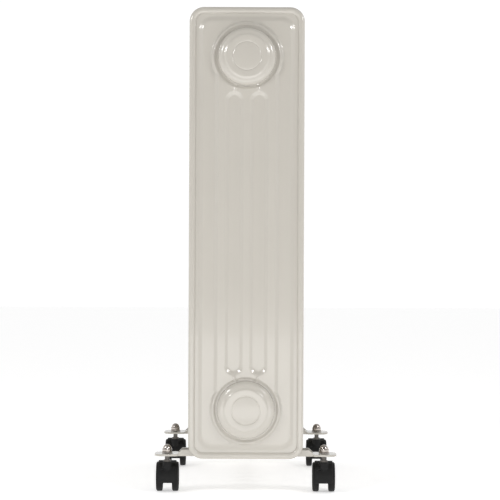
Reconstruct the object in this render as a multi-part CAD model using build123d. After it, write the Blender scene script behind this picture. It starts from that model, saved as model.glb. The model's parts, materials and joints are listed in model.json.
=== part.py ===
from build123d import *
import os
from math import sqrt

# Oil filled radiator heater: pressed steel fins in a row, on two foot brackets with four swivelling
# twin-wheel casters, with a control housing and a carrying handle at the +Y end.
# Millimetres. Floor at z = 0, X across a fin, Y along the row of fins.

# Fins: two pressed sheets back to back, sizes measured from the plane where the sheets meet
fin_count = 9
fin_width = 148.0
fin_height = 580.0
fin_pitch = 38.0
fin_corner_radius = 19.0
sheet = 1.0
bead_width = 7.0
bead_height = 3.5
bead_round = 2.4
seam_width = 5.0
panel_height = 4.0
panel_slope = 8.5
panel_corner_radius = 10.0

# Raised oil field of a fin: header domes at both ends, three channels with two pressed slots between
header_inset = 64.0
field_height = 10.0
field_half_width = 34.0
field_slope = 8.5
ring_radius = 45.0
ring_slope = 6.0
dome_radius = 37.0
dome_round = 8.0
slot_width = 22.0
slot_spacing = 31.6
slot_slope = 5.0
passage_radius = 18.0
tie_bead_width = 3.0
tie_bead_height = 1.0
tie_bead_angle = 20.0
end_mark_radius = 19.0
end_mark_width = 1.6
end_mark_depth = 0.4

# Clearances
seat_gap = 0.3
running_gap = 0.05
press_gap = 0.02
screw_gap = 0.2

# Casters, from the floor up
wheel_radius = 19.0
wheel_width = 8.25
wheel_round = 1.6
wheel_dish_radius = 13.0
wheel_dish_depth = 0.8
wheel_bore_depth = 6.0
wheel_side_gap = 0.45
caster_trail = 13.0
axle_radius = 2.5
web_width = 11.6
web_hub_radius = 9.0
hood_gap = 0.6
hood_wall = 1.3
hood_width = 23.0
hood_front_angle = -18.0
hood_sweep = 138.0
boss_radius = 5.8
boss_depth = 18.0
journal_radius = 4.0
journal_length = 15.5
collar_radius = 4.65
collar_height = 2.0
stem_radius = 3.0
stem_neck = 6.1
stem_above_plate = 7.0

# Foot brackets
caster_spacing = 203.0
plate_length = 235.0
plate_end_width = 35.0
plate_thickness = 2.6
plate_corner_radius = 12.0
channel_width = 28.0
flange_half_length = 88.0
flange_height = 5.6
flange_run_out = 6.0
cradle_half_length = 34.0
cradle_height = 20.0
cradle_run_out = 14.0
fin_drop = 2.8

# Bracket fasteners
rod_radius = 2.5
rod_below_nut = 0.7
rod_nut_across_flats = 8.0
rod_nut_height = 4.0
cap_flange_radius = 7.1
cap_flange_height = 1.6
cap_across_flats = 10.0
cap_hex_height = 4.4
cap_dome_radius = 4.5
cap_height = 11.3

# Control housing
back_sheet = 1.0
cover_width = 136.0
cover_depth = 60.0
cover_wall = 2.2
cover_corner_radius = 16.0
cover_round = 5.0
cover_above_fin_foot = 18.0
cover_below_fin_top = 12.0
post_radius = 5.5
post_inset = 13.0
screw_radius = 2.0
screw_head_radius = 3.6
screw_head_height = 2.6
screw_recess = 6.0
vent_count = 12
vent_width = 76.0
vent_height = 4.0
vent_pitch = 10.0
vents_above_cover_foot = 70.0

# Fascia and controls
fascia_width = 98.0
fascia_height = 236.0
fascia_thickness = 2.0
fascia_lip = 3.0
fascia_corner_radius = 12.0
fascia_below_cover_top = 26.0
knob_below_fascia_top = 66.0
knob_radius = 21.0
knob_height = 17.0
knob_skirt_radius = 25.0
knob_skirt_height = 3.0
knob_round = 2.0
knob_gap = 0.4
pointer_width = 3.0
pointer_height = 1.2
knob_rest_turn = 135.0
shaft_radius = 3.0
shaft_in_knob = 12.0
shaft_in_body = 14.0
thermostat_width = 42.0
thermostat_height = 38.0
thermostat_depth = 26.0
switches_below_fascia_top = 172.0
switch_spacing = 44.0
switch_width = 22.0
switch_height = 32.0
switch_lip = 1.5
switch_bezel = 1.6
switch_wall = 1.4
switch_depth = 16.0
rocker_half_height = 11.2
rocker_end_room = 1.5
rocker_crest = 4.4
rocker_valley = 2.4
rocker_root = 7.0
rocker_pivot_depth = 2.0
rocker_tilt = 9.0
trunnion_radius = 1.4
lamp_below_fascia_top = 124.0
lamp_radius = 4.0
lamp_lens_height = 1.4
lamp_depth = 12.0

# Carrying handle
handle_width = 112.0
handle_depth = 24.0
handle_post_width = 15.0
handle_grip_height = 16.0
finger_gap = 30.0
handle_corner_radius = 14.0
handle_round = 5.0
handle_screw_length = 14.0
handle_behind_cover_middle = 0.0

# Heating element and what is wired to it
element_radius = 4.0
element_reach = 262.0
element_leg_half_spacing = 8.0
element_row_half_spacing = 7.0
element_tail = 2.0
element_neck_radius = 20.0
element_flange_radius = 25.0
element_flange_height = 4.0
terminal_radius = 3.2
terminal_height = 8.0
blade_width = 5.0
blade_height = 8.0
blade_thickness = 0.8
plug_neck_radius = 6.0
plug_across_flats = 17.0
plug_head_height = 5.0
plug_neck_depth = 6.0
cutout_radius = 8.0
cutout_height = 7.0
cutout_above_header = 46.0
block_width = 44.0
block_height = 16.0
block_depth = 14.0
block_hole_radius = 2.2
block_hole_depth = 9.0
block_above_header = 90.0
tilt_width = 36.0
tilt_height = 44.0
tilt_depth = 16.0
tilt_wall = 2.0
tilt_above_header = 140.0
pin_radius = 1.5
pendulum_hub_radius = 4.0
pendulum_length = 22.0
pendulum_weight_radius = 7.0
pendulum_arm_width = 3.0
gland_radius = 9.0
gland_flange_height = 2.5
gland_neck_radius = 6.5
gland_neck_length = 12.0
gland_bore_radius = 4.2
gland_from_plate = 30.0

# Heights above the floor
hood_radius = wheel_radius + hood_gap + hood_wall
hood_top = wheel_radius + hood_radius
collar_foot = hood_top + seat_gap
plate_foot = collar_foot + collar_height + stem_neck
plate_top = plate_foot + plate_thickness
fin_foot = plate_foot - fin_drop
fin_middle = fin_foot + fin_height / 2
header_half_spacing = fin_height / 2 - header_inset
header_spacing = 2 * header_half_spacing
low_header = fin_middle - header_half_spacing
high_header = fin_middle + header_half_spacing
cover_foot = fin_foot + cover_above_fin_foot
cover_top = fin_foot + fin_height - cover_below_fin_top
cover_height = cover_top - cover_foot
cover_middle = (cover_top + cover_foot) / 2
fascia_top = cover_top - fascia_below_cover_top
fascia_middle = fascia_top - fascia_height / 2
knob_level = fascia_top - knob_below_fascia_top
switch_level = fascia_top - switches_below_fascia_top
lamp_level = fascia_top - lamp_below_fascia_top

# Places along the row: the whole heater is centred on the origin
boss_reach = fin_pitch / 2
stack_length = fin_pitch * fin_count
controls_length = back_sheet + cover_depth + fascia_thickness + knob_gap + knob_height
heater_length = stack_length + controls_length
first_fin = -heater_length / 2 + boss_reach
last_fin = first_fin + fin_pitch * (fin_count - 1)
first_gap = first_fin + boss_reach
last_gap = last_fin - boss_reach
stack_end = last_fin + boss_reach
plate_face = stack_end + back_sheet
cover_face = plate_face + cover_depth
fascia_face = cover_face + fascia_thickness

nodes = {}


# Planes for drawing: each looks along its last axis
def facing_front(y, z):
    """A plane whose normal points to -Y, with its own up along +Z."""
    return Plane(origin=(0, y, z), x_dir=(1, 0, 0), z_dir=(0, -1, 0))


def facing_rear(y, z):
    """A plane whose normal points to +Y, with its own up along +Z."""
    return Plane(origin=(0, y, z), x_dir=(-1, 0, 0), z_dir=(0, 1, 0))


def facing_side(x, y, z):
    """A plane whose normal points to -X, with -Y to its right and its own up along +Z."""
    return Plane(origin=(x, y, z), x_dir=(0, -1, 0), z_dir=(-1, 0, 0))


def raised(sketch, low, high, taper=0):
    """A sketch raised from one level to another above its plane."""
    return extrude(Pos(0, 0, low) * sketch, amount=high - low, taper=taper)


def disc(radius, low, high):
    """A round disc about the plane's normal, from one level to another."""
    return raised(Circle(radius), low, high)


def hexagon(across_flats, low, high):
    """A hexagonal prism, from one level to another."""
    return raised(RegularPolygon(across_flats / 2, 6, major_radius=False), low, high)


def rounded_top(solid, radius):
    """The solid with the edges of its highest face rounded."""
    return fillet(solid.faces().sort_by(Axis.Z)[-1].edges(), radius)


# Pressed fin sheet. The form is what the press pushes up from the seam plane. A sheet is the outer
# form less the same form drawn in by the sheet's thickness, plus the flat seam that is left.
def rim_bead(inset):
    """The hollow rounded bead along the fin's edge."""
    outer = RectangleRounded(fin_width - 2 * inset, fin_height - 2 * inset, fin_corner_radius - inset)
    inner_drop = 2 * bead_width - 2 * inset
    inner = RectangleRounded(
        fin_width - inner_drop, fin_height - inner_drop, fin_corner_radius - bead_width + inset
    )
    return rounded_top(raised(outer - inner, 0, bead_height - inset), bead_round - inset)


def panel(inset):
    """The raised panel inside the seam, with sloping sides."""
    margin = bead_width + seam_width + panel_slope + inset
    top = RectangleRounded(fin_width - 2 * margin, fin_height - 2 * margin, panel_corner_radius)
    foot_margin = margin - panel_slope
    foot = RectangleRounded(
        fin_width - 2 * foot_margin, fin_height - 2 * foot_margin, panel_corner_radius + panel_slope / 2
    )
    return loft([foot, Pos(0, 0, panel_height - inset) * top])


def field(inset):
    """The raised oil field: a band with sloping sides that joins two rings."""
    low = 0
    high = field_height - inset
    top_half = field_half_width - inset
    foot_half = top_half + field_slope
    rise = field_height - panel_height
    skirt_half = foot_half + field_slope * (panel_height - inset) / rise
    section = Plane.XZ * Polygon(
        (-skirt_half, low), (skirt_half, low), (top_half, high), (-top_half, high), align=None
    )
    band = extrude(section, amount=header_half_spacing, both=True)
    ring_foot = ring_radius - inset + ring_slope * (panel_height - inset) / rise
    ring_top = ring_radius - inset - ring_slope
    ring = Cone(ring_foot, ring_top, high, align=(Align.CENTER, Align.CENTER, Align.MIN))
    rings = [Pos(0, side * header_half_spacing, 0) * ring for side in (-1, 1)]
    return band + rings


def dome(inset):
    """A header dome with a flat face that meets the next fin's dome."""
    return rounded_top(disc(dome_radius - inset, 0, boss_reach - inset), dome_round - inset)


def channel_slot(inset):
    """A pressed slot between two oil channels, wider at its mouth."""
    floor = sheet - inset
    depth = field_height - floor
    mouth_width = slot_width + 2 * inset
    mouth_length = header_spacing - 2 * ring_radius + 2 * inset
    mouth = SlotOverall(mouth_length, mouth_width, rotation=90)
    bed = SlotOverall(mouth_length - 2 * slot_slope, mouth_width - 2 * slot_slope, rotation=90)
    slope = loft([Pos(0, 0, floor) * bed, Pos(0, 0, floor + depth) * mouth])
    return slope + raised(mouth, field_height, boss_reach)


def fin_form(inset):
    """All raised shapes of one side of a fin, drawn in by the inset."""
    form = rim_bead(inset) + panel(inset) + field(inset)
    form += [Pos(0, side * header_half_spacing, 0) * dome(inset) for side in (-1, 1)]
    for side in (-1, 1):
        form -= Pos(side * slot_spacing / 2, 0, 0) * channel_slot(inset)
    return form


def tie_beads():
    """Short raised beads on the rings, from each dome towards the ends of the two slots."""
    start = dome_radius - tie_bead_width
    length = ring_radius - start
    bead = Pos(0, -start - length / 2, field_height) * Box(tie_bead_width, length, 2 * tie_bead_height)
    beads = []
    for side in (-1, 1):
        for turn in (-tie_bead_angle, tie_bead_angle):
            upright = bead if side > 0 else Rot(0, 0, 180) * bead
            beads.append(Pos(0, side * header_half_spacing, 0) * Rot(0, 0, turn) * upright)
    return beads


seam_plate = raised(RectangleRounded(fin_width, fin_height, fin_corner_radius), 0, sheet)
plain_sheet = fin_form(0) + seam_plate + tie_beads() - fin_form(sheet)
header_places = [Pos(0, side * header_half_spacing, 0) for side in (-1, 1)]
passage = disc(passage_radius, 0, boss_reach + sheet)
passage_sheet = plain_sheet - [place * passage for place in header_places]
mark_floor = boss_reach - end_mark_depth
end_mark = disc(end_mark_radius, mark_floor, boss_reach)
end_mark -= disc(end_mark_radius - end_mark_width, mark_floor, boss_reach)
end_sheet = plain_sheet - [place * end_mark for place in header_places]
element_hole = disc(element_neck_radius + screw_gap, 0, boss_reach + sheet)
plug_hole = disc(plug_neck_radius + screw_gap, 0, boss_reach + sheet)
service_sheet = plain_sheet - header_places[0] * element_hole - header_places[1] * plug_hole

for number in range(1, fin_count + 1):
    fin_y = first_fin + fin_pitch * (number - 1)
    front = end_sheet if number == 1 else passage_sheet
    rear = service_sheet if number == fin_count else passage_sheet
    nodes[f"fin_{number}"] = [facing_front(fin_y, fin_middle) * front, facing_rear(fin_y, fin_middle) * rear]


# Casters: the stem is fixed to the bracket, the hood swivels on it, two wheels turn on the axle
def sector(radius, start, sweep):
    """A pie slice about the axle in the caster's side view."""
    arc = CenterArc((0, 0), radius, start, sweep)
    return make_face([Line((0, 0), arc @ 0), arc, Line(arc @ 1, (0, 0))])


def caster(name, x, y):
    """The five pieces of one caster, with its swivel axis at x, y."""
    side_view = facing_side(x, y + caster_trail, wheel_radius)
    slice_of_hood = sector(hood_radius, hood_front_angle, hood_sweep)
    fender_band = slice_of_hood - Circle(hood_radius - hood_wall)
    hood = extrude(side_view * fender_band, amount=hood_width / 2, both=True)
    hood += extrude(side_view * slice_of_hood, amount=web_width / 2, both=True)
    hood += extrude(side_view * Circle(web_hub_radius), amount=web_width / 2, both=True)
    boss_foot = hood_top - boss_depth
    hood += Pos(x, y, 0) * disc(boss_radius, boss_foot, hood_top)
    journal_foot = hood_top - journal_length
    hood -= Pos(x, y, 0) * disc(journal_radius + running_gap, journal_foot - seat_gap, hood_top)
    hood -= extrude(side_view * Circle(axle_radius + press_gap), amount=web_width, both=True)
    nodes[f"{name}_hood"] = [hood]

    stem = disc(journal_radius, journal_foot, collar_foot)
    stem += disc(collar_radius, collar_foot, collar_foot + collar_height)
    stem += disc(stem_radius, collar_foot, plate_top + stem_above_plate)
    nodes[f"{name}_stem"] = [Pos(x, y, 0) * stem]

    wheel_face = web_width / 2 + wheel_side_gap
    axle_half = wheel_face + wheel_bore_depth - seat_gap
    nodes[f"{name}_axle"] = [extrude(side_view * Circle(axle_radius), amount=axle_half, both=True)]

    wheel = rounded_top(disc(wheel_radius, 0, wheel_width), wheel_round)
    wheel -= disc(wheel_dish_radius, wheel_width - wheel_dish_depth, wheel_width)
    wheel -= disc(axle_radius + running_gap, 0, wheel_bore_depth)
    for side, turn in (("left", 0), ("right", 180)):
        outwards = side_view * Rot(0, turn, 0)
        nodes[f"{name}_wheel_{side}"] = [outwards * Pos(0, 0, wheel_face) * wheel]


caster_places = {
    "front_left": (-caster_spacing / 2, first_gap),
    "front_right": (caster_spacing / 2, first_gap),
    "rear_left": (-caster_spacing / 2, last_gap),
    "rear_right": (caster_spacing / 2, last_gap),
}
for place_name, place in caster_places.items():
    caster(f"caster_{place_name}", *place)


# Foot brackets: a pressed plate whose long edges turn up between the fins, with a cradle under the header
dome_face_radius = dome_radius - dome_round
rod_seat = dome_round + rod_radius + seat_gap
rod_bend_radius = dome_face_radius + sqrt(rod_seat**2 - dome_round**2)
flange_from_fin = boss_reach - channel_width / 2
ring_narrowing = ring_slope * (flange_from_fin - panel_height) / (field_height - panel_height)
cradle_radius = ring_radius - ring_narrowing + seat_gap
rod_places = [Pos(side * rod_bend_radius, 0, 0) for side in (-1, 1)]
stem_places = [Pos(side * caster_spacing / 2, 0, 0) for side in (-1, 1)]

outline = RectangleRounded(plate_length, plate_end_width, plate_corner_radius)
turned_up = Rectangle(2 * flange_half_length, plate_end_width) - Rectangle(
    2 * flange_half_length, channel_width
)
outline -= turned_up
outline -= [place * Circle(rod_radius + seat_gap) for place in rod_places]
outline -= [place * Circle(stem_radius + press_gap) for place in stem_places]
foot_plate = raised(outline, plate_foot, plate_top)
flange_top = plate_top + flange_height
cradle_top = plate_top + cradle_height
flange_top_half = flange_half_length - flange_run_out
cradle_foot_half = cradle_half_length + cradle_run_out
flange_outline = Polygon(
    (-flange_half_length, plate_foot),
    (flange_half_length, plate_foot),
    (flange_half_length, plate_top),
    (flange_top_half, flange_top),
    (cradle_foot_half, flange_top),
    (cradle_half_length, cradle_top),
    (-cradle_half_length, cradle_top),
    (-cradle_foot_half, flange_top),
    (-flange_top_half, flange_top),
    (-flange_half_length, plate_top),
    align=None,
)
flange_outline -= Pos(0, low_header, 0) * Circle(cradle_radius)
flange_middle = (channel_width - plate_thickness) / 2
for side in (-1, 1):
    flange_plane = facing_front(side * flange_middle, 0)
    foot_plate += extrude(flange_plane * flange_outline, amount=plate_thickness / 2, both=True)
nodes["foot_bracket_front"] = [Pos(0, first_gap, 0) * foot_plate]
nodes["foot_bracket_rear"] = [Pos(0, last_gap, 0) * foot_plate]

# U-bolts over the bottom header, with a nut under the plate on each leg
rod_end = plate_foot - rod_nut_height - rod_below_nut
bend_path = facing_front(0, low_header) * CenterArc((0, 0), rod_bend_radius, 0, 180)
bend_section = Plane(origin=bend_path @ 0, z_dir=bend_path % 0) * Circle(rod_radius)
u_bolt = sweep(bend_section, path=bend_path)
u_bolt += [place * disc(rod_radius, rod_end, low_header) for place in rod_places]
rod_nut = hexagon(rod_nut_across_flats, plate_foot - rod_nut_height, plate_foot)
rod_nut -= disc(rod_radius + running_gap, plate_foot - rod_nut_height, plate_foot)
gap_places = [Pos(0, y, 0) for y in (first_gap, last_gap)]
nodes["u_bolts"] = [gap * u_bolt for gap in gap_places]
nodes["u_bolt_nuts"] = [gap * place * rod_nut for gap in gap_places for place in rod_places]

# Flanged cap nuts on the caster stems
cap_nut = disc(cap_flange_radius, plate_top, plate_top + cap_flange_height)
cap_nut += hexagon(cap_across_flats, plate_top, plate_top + cap_flange_height + cap_hex_height)
cap_nut += rounded_top(disc(cap_dome_radius, plate_top, plate_top + cap_height), cap_dome_radius - sheet)
cap_nut -= disc(stem_radius + running_gap, plate_top, plate_top + stem_above_plate + seat_gap)
nodes["acorn_nuts"] = [gap * place * cap_nut for gap in gap_places for place in stem_places]


# Control housing. Its pieces are drawn on the back plate's outer face, seen from behind the heater.
def on_plate(z):
    """A plane on the back plate's outer face at a height."""
    return facing_rear(plate_face, z)


def at_corners(width, height):
    """The four corners of a rectangle."""
    return [Pos(x * width / 2, y * height / 2, 0) for x in (-1, 1) for y in (-1, 1)]


inner_width = cover_width - 2 * cover_wall
inner_height = cover_height - 2 * cover_wall
inner_corner_radius = cover_corner_radius - cover_wall
post_places = at_corners(cover_width - 2 * post_inset, cover_height - 2 * post_inset)
window_width = fascia_width - 2 * fascia_lip
window_height = fascia_height - 2 * fascia_lip
window_corner_radius = fascia_corner_radius - fascia_lip
fascia_offset = fascia_middle - cover_middle

plate_sketch = RectangleRounded(
    inner_width - 2 * seat_gap, inner_height - 2 * seat_gap, inner_corner_radius - seat_gap
)
back_plate = raised(plate_sketch, -back_sheet, 0)
back_plate -= [place * disc(screw_radius + running_gap, -back_sheet, 0) for place in post_places]
low_header_offset = low_header - cover_middle
high_header_offset = high_header - cover_middle
back_plate -= Pos(0, low_header_offset, 0) * disc(element_neck_radius + screw_gap, -back_sheet, 0)
back_plate -= Pos(0, high_header_offset, 0) * disc(plug_neck_radius + screw_gap, -back_sheet, 0)
nodes["back_plate"] = [on_plate(cover_middle) * back_plate]

cover = rounded_top(
    raised(RectangleRounded(cover_width, cover_height, cover_corner_radius), -back_sheet, cover_depth),
    cover_round,
)
cover -= raised(
    RectangleRounded(inner_width, inner_height, inner_corner_radius), -back_sheet, cover_depth - cover_wall
)
cover += [place * disc(post_radius, 0, cover_depth - cover_wall) for place in post_places]
cover -= [place * disc(screw_radius + screw_gap, 0, cover_depth) for place in post_places]
recess_floor = cover_depth - screw_recess
cover -= [place * disc(screw_head_radius + screw_gap, recess_floor, cover_depth) for place in post_places]
window = RectangleRounded(window_width, window_height, window_corner_radius)
cover -= Pos(0, fascia_offset, 0) * raised(window, cover_depth - cover_wall, cover_depth)
vent = raised(SlotOverall(vent_width, vent_height), cover_depth - cover_wall, cover_depth)
lowest_vent = vents_above_cover_foot - cover_height / 2
cover -= [Pos(0, lowest_vent + vent_pitch * row, 0) * vent for row in range(vent_count)]
gland_y = plate_face + gland_from_plate
gland_hole = Pos(0, gland_y, 0) * disc(gland_neck_radius + screw_gap, cover_foot, cover_foot + cover_wall)
handle_y = plate_face + cover_depth / 2 + handle_behind_cover_middle
handle_screw_spacing = handle_width - handle_post_width
handle_screw_places = [Pos(side * handle_screw_spacing / 2, handle_y, 0) for side in (-1, 1)]
handle_holes = [
    place * disc(screw_radius + screw_gap, cover_top - cover_wall, cover_top)
    for place in handle_screw_places
]
nodes["control_cover"] = [on_plate(cover_middle) * cover - gland_hole - handle_holes]

# Screws from the outside of the cover into the back plate
cover_screw = disc(screw_radius, -back_sheet, recess_floor)
cover_screw += rounded_top(
    disc(screw_head_radius, recess_floor, recess_floor + screw_head_height), screw_head_height / 2
)
nodes["cover_screws"] = [on_plate(cover_middle) * place * cover_screw for place in post_places]

# Fascia: a plate on the cover's face with a spigot in the cover's window
switch_places = [Pos(side * switch_spacing / 2, switch_level - fascia_middle, 0) for side in (-1, 1)]
knob_place = Pos(0, knob_level - fascia_middle, 0)
lamp_place = Pos(0, lamp_level - fascia_middle, 0)
fascia_sketch = RectangleRounded(fascia_width, fascia_height, fascia_corner_radius)
fascia = rounded_top(raised(fascia_sketch, 0, fascia_thickness), fascia_thickness / 2)
spigot = RectangleRounded(
    window_width - 2 * screw_gap, window_height - 2 * screw_gap, window_corner_radius - screw_gap
)
fascia += raised(spigot, -cover_wall, 0)
switch_body = Rectangle(switch_width - 2 * switch_lip, switch_height - 2 * switch_lip)
switch_cut = Rectangle(
    switch_width - 2 * switch_lip + 2 * screw_gap, switch_height - 2 * switch_lip + 2 * screw_gap
)
fascia -= [place * raised(switch_cut, -cover_wall, fascia_thickness) for place in switch_places]
fascia -= knob_place * disc(shaft_radius + screw_gap, -cover_wall, fascia_thickness)
fascia -= lamp_place * disc(lamp_radius + screw_gap, -cover_wall, fascia_thickness)
on_cover = facing_rear(cover_face, fascia_middle)
nodes["fascia"] = [on_cover * fascia]

# Thermostat behind the fascia, its shaft and the knob
fascia_back = -cover_wall
thermostat_box = Rectangle(thermostat_width, thermostat_height)
thermostat = raised(thermostat_box, fascia_back - thermostat_depth, fascia_back)
thermostat -= disc(shaft_radius + running_gap, fascia_back - shaft_in_body - seat_gap, fascia_back)
nodes["thermostat_body"] = [on_cover * knob_place * thermostat]
knob_foot = fascia_thickness + knob_gap
shaft = disc(shaft_radius, fascia_back - shaft_in_body, knob_foot + shaft_in_knob)
nodes["thermostat_shaft"] = [on_cover * knob_place * shaft]
knob_top = knob_foot + knob_height
knob_body_top = knob_top - pointer_height
knob = rounded_top(disc(knob_radius, knob_foot, knob_body_top), knob_round)
knob += rounded_top(disc(knob_skirt_radius, knob_foot, knob_foot + knob_skirt_height), knob_skirt_height / 2)
pointer_length = knob_radius - knob_round
pointer = Pos(0, pointer_length / 2, 0) * Rectangle(pointer_width, pointer_length)
knob += raised(pointer, knob_body_top - pointer_height, knob_top)
knob -= disc(shaft_radius + press_gap, knob_foot, knob_foot + shaft_in_knob + seat_gap)
nodes["thermostat_knob"] = [on_cover * knob_place * Rot(0, 0, knob_rest_turn) * knob]

# Rocker switches: a housing with a pocket, and a rocker on trunnions, at rest with its upper half out
pocket_half_height = rocker_half_height + rocker_end_room
pocket_width = switch_width - 2 * switch_lip - 2 * switch_wall
switch_face = fascia_thickness + switch_bezel
pivot_level = switch_face - rocker_pivot_depth
pocket_floor = pivot_level - rocker_root - rocker_end_room
housing = raised(switch_body, -switch_depth, fascia_thickness)
housing += raised(Rectangle(switch_width, switch_height), fascia_thickness, switch_face)
housing -= raised(Rectangle(pocket_width, 2 * pocket_half_height), pocket_floor, switch_face)
trunnion_half = (pocket_width + switch_wall) / 2
trunnion_axis = Plane(origin=(0, 0, pivot_level), x_dir=(0, 1, 0), z_dir=(1, 0, 0))
housing -= extrude(
    trunnion_axis * Circle(trunnion_radius + running_gap), amount=trunnion_half + running_gap, both=True
)
rocker_outline = Polygon(
    (-rocker_half_height, rocker_crest),
    (0, rocker_valley),
    (rocker_half_height, rocker_crest),
    (rocker_half_height, -rocker_pivot_depth),
    (rocker_half_height / 2, -rocker_root),
    (-rocker_half_height / 2, -rocker_root),
    (-rocker_half_height, -rocker_pivot_depth),
    align=None,
)
rocker_half_width = pocket_width / 2 - seat_gap
rocker = extrude(trunnion_axis * Rot(0, 0, rocker_tilt) * rocker_outline, amount=rocker_half_width, both=True)
rocker += extrude(trunnion_axis * Circle(trunnion_radius), amount=trunnion_half, both=True)
for place, name in zip(switch_places, ("high", "low")):
    nodes[f"switch_housing_{name}"] = [on_cover * place * housing]
    nodes[f"rocker_{name}"] = [on_cover * place * rocker]

lamp = rounded_top(disc(lamp_radius, -lamp_depth, fascia_thickness + lamp_lens_height), lamp_lens_height)
nodes["indicator_lamp"] = [on_cover * lamp_place * lamp]

# Carrying handle on top of the cover, screwed on from inside
handle_height = finger_gap + handle_grip_height
handle_outline = Pos(0, handle_height / 2, 0) * RectangleRounded(
    handle_width, handle_height, handle_corner_radius
)
handle_foot = Pos(0, handle_height / 4, 0) * Rectangle(handle_width, handle_height / 2)
opening_width = handle_width - 2 * handle_post_width
handle_opening = Pos(0, finger_gap / 2, 0) * RectangleRounded(
    opening_width, finger_gap, handle_corner_radius - handle_round
)
opening_foot = Pos(0, finger_gap / 4, 0) * Rectangle(opening_width, finger_gap / 2)
handle = extrude(
    facing_rear(handle_y, cover_top) * (handle_outline + handle_foot - handle_opening - opening_foot),
    amount=handle_depth / 2,
    both=True,
)
handle_face_edges = handle.faces().filter_by(Axis.Y).edges().filter_by(
    lambda edge: edge.center().Z > cover_top + sheet
)
handle = fillet(handle_face_edges, handle_round)
screw_reach = handle_screw_length - cover_wall
handle_bore = disc(screw_radius + running_gap, cover_top, cover_top + screw_reach + seat_gap)
handle -= [place * handle_bore for place in handle_screw_places]
nodes["carry_handle"] = [handle]
head_foot = cover_top - cover_wall - screw_head_height
handle_screw = disc(screw_radius, head_foot, cover_top + screw_reach)
handle_screw += disc(screw_head_radius, head_foot, cover_top - cover_wall)
nodes["handle_screws"] = [place * handle_screw for place in handle_screw_places]

# Heating elements: two U-shaped tubes in the bottom header, held by a flange that clamps the back plate
flange_top_level = element_flange_height
on_low_header = on_plate(low_header)
tube_rows = (("high", element_row_half_spacing), ("low", -element_row_half_spacing))
element_flange = disc(element_flange_radius, 0, flange_top_level)
element_flange += disc(element_neck_radius, -back_sheet - sheet, 0)
leg_places = [Pos(side * element_leg_half_spacing, 0, 0) for side in (-1, 1)]
tube_hole = disc(element_radius + press_gap, -back_sheet - sheet, flange_top_level)
straight_reach = element_reach - element_leg_half_spacing
tube_tip = flange_top_level + element_tail
for name, row in tube_rows:
    row_place = Pos(0, row, 0)
    element_flange -= [row_place * place * tube_hole for place in leg_places]
    turn_plane = Plane(origin=(0, 0, -straight_reach), x_dir=(1, 0, 0), z_dir=(0, -1, 0))
    turn_path = turn_plane * CenterArc((0, 0), element_leg_half_spacing, 180, 180)
    turn_section = Plane(origin=turn_path @ 0, z_dir=turn_path % 0) * Circle(element_radius)
    element = sweep(turn_section, path=turn_path)
    element += [place * disc(element_radius, -straight_reach, tube_tip) for place in leg_places]
    nodes[f"heating_element_{name}"] = [on_low_header * row_place * element]
nodes["element_flange"] = [on_low_header * element_flange]

# Ceramic terminals on the tube ends, each with a blade for its wire
terminal = disc(terminal_radius, tube_tip, tube_tip + terminal_height)
blade = Rectangle(blade_width, blade_thickness)
terminal += raised(blade, tube_tip + terminal_height, tube_tip + terminal_height + blade_height)
nodes["element_terminals"] = [
    on_low_header * Pos(0, row, 0) * place * terminal for name, row in tube_rows for place in leg_places
]

# Plug in the filling hole of the top header
plug = hexagon(plug_across_flats, 0, plug_head_height) + disc(plug_neck_radius, -plug_neck_depth, 0)
nodes["oil_fill_plug"] = [on_plate(high_header) * plug]

# Thermal cutout, terminal block and tilt switch on the back plate
cutout = rounded_top(disc(cutout_radius, 0, cutout_height), sheet)
cutout_blades = [Pos(side * cutout_radius / 2, 0, 0) * blade for side in (-1, 1)]
cutout += [raised(outline_of_blade, 0, cutout_height + blade_height) for outline_of_blade in cutout_blades]
nodes["thermal_cutout"] = [on_plate(low_header + cutout_above_header) * cutout]
block = raised(Rectangle(block_width, block_height), 0, block_depth)
block_places = [Pos(step * block_width / 3, 0, 0) for step in (-1, 0, 1)]
block -= [
    place * disc(block_hole_radius, block_depth - block_hole_depth, block_depth) for place in block_places
]
nodes["terminal_block"] = [on_plate(low_header + block_above_header) * block]

tilt_plane = on_plate(low_header + tilt_above_header)
tilt_body = raised(Rectangle(tilt_width, tilt_height), 0, tilt_depth)
tilt_pocket = Rectangle(tilt_width - 2 * tilt_wall, tilt_height - 2 * tilt_wall)
tilt_body -= raised(tilt_pocket, tilt_wall, tilt_depth)
pivot_height = tilt_height / 2 - tilt_wall - pendulum_hub_radius - screw_gap
pivot = Pos(0, pivot_height, 0)
tilt_body += pivot * disc(pin_radius, tilt_wall, tilt_depth)
nodes["tilt_switch_body"] = [tilt_plane * tilt_body]
pendulum_low = tilt_wall + seat_gap
pendulum_high = tilt_depth - tilt_wall
pendulum = disc(pendulum_hub_radius, pendulum_low, pendulum_high)
arm = Pos(0, -pendulum_length / 2, 0) * Rectangle(pendulum_arm_width, pendulum_length)
pendulum += raised(arm, pendulum_low, pendulum_high)
pendulum += Pos(0, -pendulum_length, 0) * disc(pendulum_weight_radius, pendulum_low, pendulum_high)
pendulum -= disc(pin_radius + running_gap, pendulum_low, pendulum_high)
nodes["tilt_switch_pendulum"] = [tilt_plane * pivot * pendulum]

# Bush for the mains cord in the cover's underside
gland = disc(gland_radius, cover_foot - gland_flange_height, cover_foot)
gland += disc(gland_neck_radius, cover_foot, cover_foot - gland_flange_height + gland_neck_length)
gland -= disc(
    gland_bore_radius, cover_foot - gland_flange_height, cover_foot - gland_flange_height + gland_neck_length
)
nodes["cord_gland"] = [Pos(0, gland_y, 0) * gland]

os.makedirs("parts", exist_ok=True)
for node, pieces in nodes.items():
    solids = [solid for piece in pieces for solid in piece.solids()]
    export_step(solids[0] if len(solids) == 1 else Compound(solids), f"parts/{node}.step")
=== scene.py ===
import json
import math

import bmesh
import bpy
import numpy as np
from mathutils import Matrix, Vector


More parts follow.
